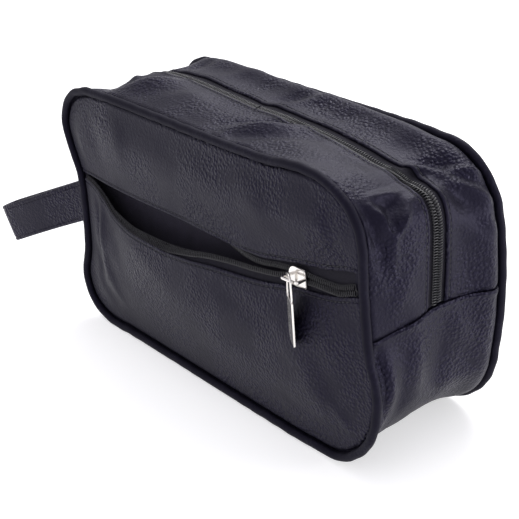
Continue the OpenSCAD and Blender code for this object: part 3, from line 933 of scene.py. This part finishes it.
def ring_of(name, profile, drift, y_mid, columns=620):
    """A closed ring round the outline; the profile gives inset from the outline and y from its middle."""
    profile = np.array(profile, float)

    def place(run, _, turn):
        low = np.floor(turn).astype(int) % len(profile)
        inset, off = profile[low].T
        x, z, nx, nz = rim(run)
        crinkle = 0.10 * np.sin(run / 3.1) * np.sin(run / 7.7) + 0.08 * np.sin(run / 1.9 + 1.3)
        out = drift(np.mod(run, girth)) - inset + crinkle * ease(run / 30) * ease((girth - run) / 30)
        wave = 0.25 * np.sin(run / 31.0) * np.sin(2 * math.pi * run / girth)
        return np.stack([x + nx * out, y_mid + off + wave, z + nz * out], -1) * MM

    section = [(0.0, float(k), float(k)) for k in range(len(profile))]
    ring = sheet(name, np.linspace(0, girth, columns + 1), section, (fixed(0), fixed(0)), place, cap=False)
    return ring


def round_profile(radius, count, inset):
    a = np.linspace(0, 2 * math.pi, count, endpoint=False)
    return [(inset - radius * math.cos(v), radius * math.sin(v)) for v in a]


def piping_profile(inward):
    """Round outside, with the sewn tail on its seam side; the seam lies towards inward."""
    tail_end, tail_face = 9.0, 1.5
    points = [(pipe_r - pipe_r * math.cos(v), inward * pipe_r * math.sin(v))
              for v in np.radians(np.linspace(102.4, -223, 24))]
    return points + [(6.0, inward * tail_face), (tail_end, inward * tail_face),
                     (tail_end, inward * (tail_face + 0.65)), (6.0, inward * (tail_face + 0.65))]


for name, drift, y_mid, inward in (("front", front_drift, -pipe_mid, 1),
                                   ("back", back_drift, pipe_mid, -1)):
    pipe = ring_of(name + "_piping_cloth", piping_profile(inward), drift, y_mid)
    finish_piece(pipe, leather_smooth, "leather", "bag", name + "_piping")
    cord = ring_of(name + "_filler_cord", round_profile(cord_r, 10, pipe_r), drift, y_mid, 300)
    finish_piece(cord, filler, "cord", "bag", name + "_piping_cord")
print("piping:", made[-4:])

# %% [markdown]
# ## Front panel and pocket front
# Two pieces of leather cloth with the pocket zip between them. Both edges at the zip are turned under
# and topstitched. The pocket front bulges and its lip hangs forward; the outer edges of both dip behind
# the piping, where they are sewn.

# %% Front panels


def panel_columns(half, count):
    """Columns of a panel, closer together near its two ends."""
    t = np.linspace(-1, 1, count)
    return half * (0.55 * t + 0.45 * np.sin(t * math.pi / 2))


def between_outlines(inset):
    """Lower and upper edge of a panel that follows the outline all round."""
    return lambda x: outline_base(x, inset), lambda x: outline_top(x, inset)


panel_base, panel_top = between_outlines(tuck_in)
columns = panel_columns(half_w - tuck_in, 241)
upper = sheet("front_panel_cloth", columns, leather_section(48, True, False), (upper_z, panel_top),
              place_upper)
finish_piece(upper, leather, "leather", "bag", "front_panel")
lower = sheet("pocket_front_cloth", columns, leather_section(66, False, True), (panel_base, lower_z),
              place_lower)
finish_piece(lower, leather, "leather", "bag", "pocket_front")
print("front panels:", made[-2:])

# %% [markdown]
# ## Pocket zip
# Right of the slider the two coils are closed. Left of it the upper coil stays with the upper edge and
# the lower coil goes down and forward with the sagging lip.

# %% Pocket zip
open_side = 16.0


def parted(x):
    """0 where the zip is closed, 1 well to the left of the slider."""
    return ease((slider_x - 2 - x) / open_side)


def slider_spread(x):
    return np.exp(-((x - slider_x) / 5.5) ** 2)


def folded_in(x):
    """How far the free upper tape has folded back under its edge, 0 to 1."""
    return ease((48 - x) / 46)


def upper_coil_z(x):
    closed = zip_line(x) + chain_gap + coil_half + slider_spread(x)
    opened = upper_z(x) - 2.4 + 2.8 * folded_in(x)
    return closed + (opened - closed) * parted(x)


def lower_coil_z(x):
    closed = zip_line(x) - chain_gap - coil_half - slider_spread(x)
    return closed + (lower_z(x) + coil_above(x) - closed) * parted(x)


def place_folded(x, z, depth):
    near = ease((upper_z(x) + 3.5 - z) / 5)
    return place_upper(x, z, depth + 3.2 * folded_in(x) * near)


zip_columns = both_ways(-zip_half + 1, zip_half - 1, 1.2)


def pocket_tape(side, edges, place):
    tape = sheet(f"pocket_tape_{side}_cloth", zip_columns, tape_section(14), edges, place)
    finish_piece(tape, tape_cloth, "zip_tape", "bag", "pocket_tape_" + side)


def pocket_coil(side, head_side, centre, place, phase):
    turns = coil("pocket_coil_" + side, 2 - zip_half, zip_half - 2, head_side, centre, place, phase)
    finish_piece(turns, coil_nylon, "zip_coil", "bag", "pocket_teeth_" + side)


pocket_tape("upper", (lambda x: upper_coil_z(x) - 0.1, lambda x: upper_z(x) + tape_sew), place_folded)
pocket_tape("lower", (lambda x: lower_z(x) - tape_sew, lambda x: lower_coil_z(x) + 0.1), place_lower)
pocket_coil("upper", -1, upper_coil_z, place_folded, 0.0)
pocket_coil("lower", 1, lower_coil_z, place_lower, 0.5)
print("pocket zip:", made[-4:])

# %% [markdown]
# ## Back panel and linings
# The back panel is one plain piece that bulges a little. The linings are thin woven sheets: one behind
# the pocket and one on the back panel.

# %% Back panel and linings


def flat_panel(name, inset, y, bulge, thick, outward, drift, rows, count):
    def place(x, z, depth):
        wx, wz, d = warp_front(x, z, drift)
        waves = 0.5 * swell(x, z + 30) * ease((d - inset) / 18) * (bulge > 0)
        puff = bulge * ease((d - inset) / 40) + waves
        tuck = 1.5 * (1 - ease((d - tuck_in) / 2.6))
        return np.stack([wx, y + outward * (puff - tuck - depth), wz], -1) * MM

    section = [(float(t), 0.0, 0.0) for t in np.linspace(0, 1, rows)]
    section += [(float(t), 0.0, thick) for t in np.linspace(1, 0, rows // 3)]
    return sheet(name, panel_columns(half_w - inset, count), section, between_outlines(inset), place)


back = flat_panel("back_panel_cloth", tuck_in, panel_face, 4.0, leather_t, 1, back_drift, 80, 201)
finish_piece(back, leather, "leather", "bag", "back_panel")
back_cloth = flat_panel("back_lining_cloth", 9.7, panel_face - leather_t - 0.2, 4.0, 0.4, 1, back_drift,
                        40, 101)
finish_piece(back_cloth, lining_cloth, "lining", "bag", "back_lining")
front_cloth = flat_panel("front_lining_cloth", 5.2, -32.2, 0.0, 0.4, -1, front_drift, 40, 101)
finish_piece(front_cloth, lining_cloth, "lining", "bag", "front_lining")
print("panels:", made[-3:])

# %% [markdown]
# ## Seam bindings
# Inside, the raw edges at the front are folded into one thick seam, and those at the back are bound with
# a thin strip folded over them.

# %% Bindings


def box_profile(inset_low, inset_high, y_low, y_high, soft):
    return [(inset_low + soft, y_low), (inset_high - soft, y_low), (inset_high, y_low + soft),
            (inset_high, y_high - soft), (inset_high - soft, y_high), (inset_low + soft, y_high),
            (inset_low, y_high - soft), (inset_low, y_low + soft)]


folded = box_profile(4.9, 9.1, -36.1, -32.7, 0.4)
front_seam = ring_of("front_seam_cloth", folded, front_drift, 0.0, 300)
finish_piece(front_seam, lining_cloth, "lining", "bag", "front_seam_binding")
bound = [(4.9, 35.7), (9.5, 35.7), (9.6, 35.9), (9.6, 37.6), (9.4, 37.7), (9.1, 37.6), (9.1, 36.2),
         (4.9, 36.2)]
back_seam = ring_of("back_seam_binding_cloth", bound, back_drift, 0.0, 300)
finish_piece(back_seam, lining_cloth, "lining", "bag", "back_seam_binding")
print("bindings:", made[-2:])

# %% [markdown]
# ## Stitches
# The turned edges beside the zips are topstitched. One stitch is modelled and an Array modifier repeats
# it; the row is then laid in the groove beside the edge.

# %% Stitches
stitch_l, stitch_gap = 2.5, 0.6


def stitch_row(name, low, high, line, place):
    count = int((high - low) / (stitch_l + stitch_gap))
    obj = new_grid(name, 5, 6)
    co = points_of(obj)
    t, a = (co[:, 0] + 1) / 2, (co[:, 1] + 1) * math.pi
    plump = np.sin(math.pi * np.clip(t, 0.02, 0.98)) ** 0.5
    move_points(obj, np.stack([t * stitch_l, 0.22 * plump * np.cos(a),
                               0.16 * plump * np.sin(a) + 0.12 * np.sin(math.pi * t)], -1))
    co = repeat(obj, count, stitch_l + stitch_gap)
    run = low + co[:, 0]
    move_points(obj, place(run, line(run) + co[:, 1], 0.25 - co[:, 2]))
    mend(obj, angle=60.0)
    return obj


stitch_in = 2.25
for side, (low, high) in halves.items():
    start, stop = (low + 2, high - 1) if side == "right" else (low + 1, high - 2)
    for lip, sign, edge in lips:
        row = stitch_row(f"{lip}_strip_stitches_{side}", start, stop, shifted(edge, sign * stitch_in),
                         place_strip)
        finish_lip(row, thread, "leather", side, lip)
row = stitch_row("pocket_upper_stitches", -114, 114, lambda x: upper_z(x) + stitch_in, place_upper)
finish_piece(row, thread, "leather", "bag")
row = stitch_row("pocket_lower_stitches", -114, 114, lambda x: lower_z(x) - stitch_in, place_lower)
finish_piece(row, thread, "leather", "bag")
print("stitches:", sum(n for name, n in made if "stitches" in name), "faces")

# %% [markdown]
# ## Wrist loop
# A strap folded in two, with both ends sewn into the left front seam. It droops and points a little
# forward. A sheet is laid along the folded line; its edges are turned, with a groove beside each.

# %% Wrist loop
loop_root = np.array([-125.3, -35.85, 70.0])
loop_w, loop_t, loop_len = 23.0, 2.2, 73.0
droop, forward = math.radians(23), math.radians(12)
loop_end = 6.0
loop_along = np.array([-math.cos(droop) * math.cos(forward), -math.cos(droop) * math.sin(forward),
                       -math.sin(droop)])
loop_side = np.array([math.sin(forward), -math.cos(forward), 0.0])
loop_up = np.cross(loop_along, loop_side)
loop_up *= np.sign(loop_up[2])
leg_len = loop_len - loop_end


def loop_line(s):
    """Distance along and to the side for a length s of strap, measured from the near end's root."""
    s = np.asarray(s, float)
    bend = math.pi * loop_end
    near_leg, far_leg = s < leg_len, s > leg_len + bend
    a = np.clip((s - leg_len) / loop_end, 0, math.pi) - math.pi / 2
    back_s = 2 * leg_len + bend - s
    along = np.where(near_leg, s, np.where(far_leg, back_s, leg_len + loop_end * np.cos(a)))
    reach = np.where(near_leg, s, back_s) / leg_len
    width = 1.35 + (loop_end - 1.35) * ease(np.clip(reach, 0, 1) ** 0.8)
    side = np.where(near_leg, width, np.where(far_leg, -width, -loop_end * np.sin(a)))
    return along, side


def place_loop(s, w, depth):
    def skin(u, v):
        along, side = loop_line(u)
        share = np.clip(along / loop_len, 0, 1)
        drop = 1.6 * np.sin(math.pi * share) * (v < 0) * -v / (loop_w / 2)
        inward = (1 - share) * -v * math.tan(droop)
        twist = 0.6 * np.sin(math.pi * share) * v / (loop_w / 2)
        return (loop_root + loop_along * (along + inward)[..., None]
                + loop_side * (side + twist)[..., None] + loop_up * (v + 0.25 * drop)[..., None])
    e = 0.2
    normal = facing(skin, s, w, e)
    out_side = loop_line(s + e)[0] - loop_line(s - e)[0]   # the near leg's outer face is on its side
    want = loop_side * np.sign(np.where(np.abs(out_side) < 0.02, 1, out_side))[..., None]
    agree = (normal * want).sum(-1)
    flip = np.where(np.abs(agree) > 0.2, np.sign(agree), np.sign((normal * loop_along).sum(-1)))
    return (skin(s, w) + normal * flip[..., None] * (loop_t / 2 - np.asarray(depth))[..., None]) * MM


def strap_section():
    edge = [(0.0, 1.1), (0.1, 0.6), (0.35, 0.25), (0.8, 0.04), (1.3, -0.05), (1.8, 0.0), (2.1, 0.28),
            (2.35, 0.34), (2.6, 0.26), (2.9, 0.03), (3.8, 0.0)]
    outer = [(0, o, d) for o, d in edge] + [(float(t), 3.8 * (1 - 2 * t), 0.0)
                                           for t in np.linspace(0, 1, 16)[1:-1]]
    outer += [(1, -o, d) for o, d in reversed(edge)]
    inner = [(1, -o, loop_t - d) for o, d in edge[1:]] + [(float(t), 3.8 * (1 - 2 * t), loop_t)
                                                         for t in np.linspace(1, 0, 16)[1:-1]]
    inner += [(0, o, loop_t - d) for o, d in reversed(edge[1:])]
    return outer + inner


root_tuck = 10.5
strap_rows = both_ways(-root_tuck, 2 * leg_len + math.pi * loop_end + root_tuck, 1.0)
strap = sheet("wrist_strap", strap_rows, strap_section(), (fixed(-loop_w / 2), fixed(loop_w / 2)),
              place_loop)
finish_piece(strap, leather, "leather", None, "wrist_loop")
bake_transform(strap)
print("strap:", made[-1])

# %% [markdown]
# ## Sliders and pullers
# Zip sliders are die-cast and plated, so every edge is soft. A plate could be cut from a cylinder and a
# cube, but rings from its middle out to its edge give the low dome and the round edge in one piece. The
# crown is one bent bar, and the puller is a flat frame with a tab.

# %% Metal sizes
slider_l = 12.0
slide_fit, plate_t, rail_t, post_w = 0.25, 1.1, 0.8, 1.5
slider_half = 2 * coil_half + chain_gap + 1.2 + rail_t
plate_z = coil_h + slide_fit
plate_top = plate_z + plate_t
crown_d, eye_rim, eye_outer = 1.6, 1.2, 4.4
crown_z = plate_top + eye_outer + 0.3
leg_mid = slider_l / 2 - 0.7
puller_l, puller_w, puller_t = 32.0, 10.0, 1.0
puller_turn, eye_drop = 62, 0.3
zip_tilt = math.radians(3)
print("slider", slider_l, "x", round(2 * slider_half, 2), "mm, puller", puller_l, "x", puller_w, "mm")

# %% Metal shapes


def rounded_box(low, high, corners, count=9):
    """Points round a box; corners gives four radii, from the lower left corner on."""
    (x0, y0), (x1, y1) = low, high
    centres = [(x0, y0, 1, 1, 180), (x1, y0, -1, 1, 270), (x1, y1, -1, -1, 0), (x0, y1, 1, -1, 90)]
    points = []
    for (x, y, sx, sy, first), r in zip(centres, corners):
        for a in np.radians(np.linspace(first, first + 90, count)):
            points.append((x + sx * r + r * math.cos(a), y + sy * r + r * math.sin(a)))
    return np.array(points)


def plate(name, outline, z_low, z_high, soft, dome=0.0):
    """A closed flat piece with soft edges; the top rises by dome in the middle."""
    centre = (outline.min(0) + outline.max(0)) / 2
    levels = [(0, 0, z_low), (0.6, 0, z_low), (1, soft, z_low), (1, 0.3 * soft, z_low + 0.3 * soft),
              (1, 0, z_low + soft), (1, 0, z_high - soft), (1, 0.3 * soft, z_high - 0.3 * soft),
              (1, soft, z_high), (1, 2.4 * soft, z_high + 0.25 * dome), (0.55, 0, z_high + 0.75 * dome),
              (0.3, 0, z_high + 0.94 * dome), (0, 0, z_high + dome)]
    levels = np.array(levels, float)
    loop = np.vstack([outline, outline[:1]])
    obj = new_grid(name, len(loop) - 1, len(levels) - 1)
    co = points_of(obj)
    i, j = steps_of(co, len(loop) - 1, len(levels) - 1)
    reach = loop[i] - centre
    length = np.linalg.norm(reach, axis=-1)
    share = levels[j, 0] * (1 - levels[j, 1] / length)
    move_points(obj, np.column_stack([centre + reach * share[:, None], levels[j, 2]]) * MM)
    return mend(obj, angle=40)


def bar(name, path, half_wide, half_high, closed):
    """A bar with a soft section along a path in two directions; the third is its width."""
    path = np.array(path, float)
    ahead = np.gradient(path, axis=0)
    if closed:
        ahead = np.roll(path, -1, 0) - np.roll(path, 1, 0)
        path, ahead = np.vstack([path, path[:1]]), np.vstack([ahead, ahead[:1]])
    ahead /= np.linalg.norm(ahead, axis=1)[:, None]
    a = np.linspace(0, 2 * math.pi, 16, endpoint=False)
    power = 1.0 if half_wide == half_high else 0.45
    u = half_wide * np.sign(np.cos(a)) * np.abs(np.cos(a)) ** power
    v = half_high * np.sign(np.sin(a)) * np.abs(np.sin(a)) ** power

    def place(run, _, turn):
        i = np.rint(run).astype(int)
        k = np.floor(turn).astype(int) % len(a)
        side = np.stack([-ahead[i, 1], ahead[i, 0]], -1)
        p = path[i] + side * u[k][:, None]
        return np.stack([p[:, 0], v[k], p[:, 1]], -1) * MM

    section = [(0.0, float(k), float(k)) for k in range(len(a))]
    return sheet(name, np.arange(len(path)), section, (fixed(0), fixed(0)), place, cap=not closed)


def joined(name, parts, matrix):
    """Makes one object of several, and bakes where it stands into its points."""
    pick(*parts)
    bpy.ops.object.join()
    obj = bpy.context.active_object
    obj.name = obj.data.name = name
    obj.data.transform(matrix)
    obj.data.update()
    return obj


def slider_body(name, matrix):
    nose = slider_half
    outline = rounded_box((-slider_l / 2, -slider_half), (slider_l / 2, slider_half),
                          (nose, 1.3, 1.3, nose), 17)
    waist = ease((outline[:, 0] - 0.5) / 5)
    outline[:, 1] *= 1 - 0.10 * waist
    base = -tape_t - slide_fit - plate_t
    parts = [plate("plate", outline, plate_z, plate_top - 0.12, 0.35, 0.24),
             plate("plate", outline, base, base + plate_t, 0.3)]
    post = rounded_box((-slider_l / 2 + 0.6, -post_w / 2), (-slider_l / 2 + 2.6, post_w / 2), (0.6,) * 4, 5)
    parts.append(plate("post", post, base + plate_t / 2, plate_z + plate_t / 2, 0.1))
    for side in (-1, 1):
        mid = side * (0.9 * slider_half - rail_t / 2 + 0.2)
        rail = rounded_box((-0.6, mid - rail_t / 2), (slider_l / 2 - 0.5, mid + rail_t / 2), (0.35,) * 4, 5)
        parts.append(plate("rail", rail, slide_fit, plate_z + plate_t / 2, 0.1))
    foot, bend = plate_top - 0.5, 1.3
    turn_up = [(-leg_mid + bend - bend * math.cos(a), crown_z - bend + bend * math.sin(a))
               for a in np.radians(np.linspace(0, 90, 9))]
    path = [(-leg_mid, z) for z in np.linspace(foot, crown_z - bend, 6)[:-1]] + turn_up
    path += [(x, crown_z) for x in np.linspace(-leg_mid + bend, 0, 5)[1:]]
    path += [(-x, z) for x, z in reversed(path[:-1])]
    parts.append(bar("crown", path, crown_d / 2, crown_d / 2, False))
    return joined(name, parts, matrix)


def puller_body(name, matrix):
    rim_mid = eye_outer - eye_rim / 2
    window = 9.4
    arc = [(rim_mid * math.cos(a), rim_mid * math.sin(a)) for a in np.radians(np.linspace(0, 180, 25))]
    down = np.linspace(0, -window + 1.2, 12)[1:]
    left = [(-rim_mid - 0.6 * ease(-(y + 1) / 5), y) for y in down]
    foot = [(x, -window) for x in np.linspace(left[-1][0] + 1.2, -left[-1][0] - 1.2, 7)]
    path = arc + left + foot + [(-x, y) for x, y in reversed(left)]
    frame_bar = bar("frame", path, eye_rim / 2, puller_t / 2, True)
    frame_bar.data.transform(Matrix(((1, 0, 0, 0), (0, 0, 1, 0), (0, -1, 0, 0), (0, 0, 0, 1))))
    outline = rounded_box((-puller_w / 2, -puller_l), (puller_w / 2, -window + 0.4),
                          (0.7, 0.7, 0.5, 0.5), 5)
    tab = plate("tab", outline, -puller_t / 2, puller_t / 2, 0.2)
    return joined(name, [frame_bar, tab], matrix)


def stand(x, y, z, *turns):
    matrix = Matrix.Translation((x * MM, y * MM, z * MM))
    for angle, axis in turns:
        matrix = matrix @ Matrix.Rotation(math.radians(angle), 4, axis)
    return matrix


print("metal shapes ready")

# %% Sliders and pullers
pocket_x, pocket_z = slider_x * math.cos(zip_tilt), pocket_zip_z + slider_x * math.sin(zip_tilt)
face_x = -(half_w - face_in - leather_t)
tape_face = panel_face - leather_t
window_mid = (plate_top + crown_z - crown_d / 2) / 2
metal = [
    ("pocket_slider", slider_body, stand(pocket_x, -tape_face, pocket_z, (-math.degrees(zip_tilt), "Y"),
                                         (90, "X"))),
    ("pocket_puller", puller_body, stand(pocket_x, -tape_face - crown_z, pocket_z - eye_drop,
                                         (puller_turn - 90, "Z"), (90, "X"))),
    ("main_slider", slider_body, stand(face_x, 0, main_slider_z, (-90, "Y"))),
    ("main_puller", puller_body, stand(face_x - window_mid, 0, main_slider_z - leg_mid, (90, "Z"),
                                       (90, "X"))),
]
for name, build, matrix in metal:
    finish_piece(build(name + "_metal", matrix), nickel, "nickel", name, name)
print("metal:", made[-4:])

# %% [markdown]
# ## Finish
# The number of pieces made and their faces are printed.

# %% Finish
print("pieces", len(made), "faces", sum(n for _, n in made))
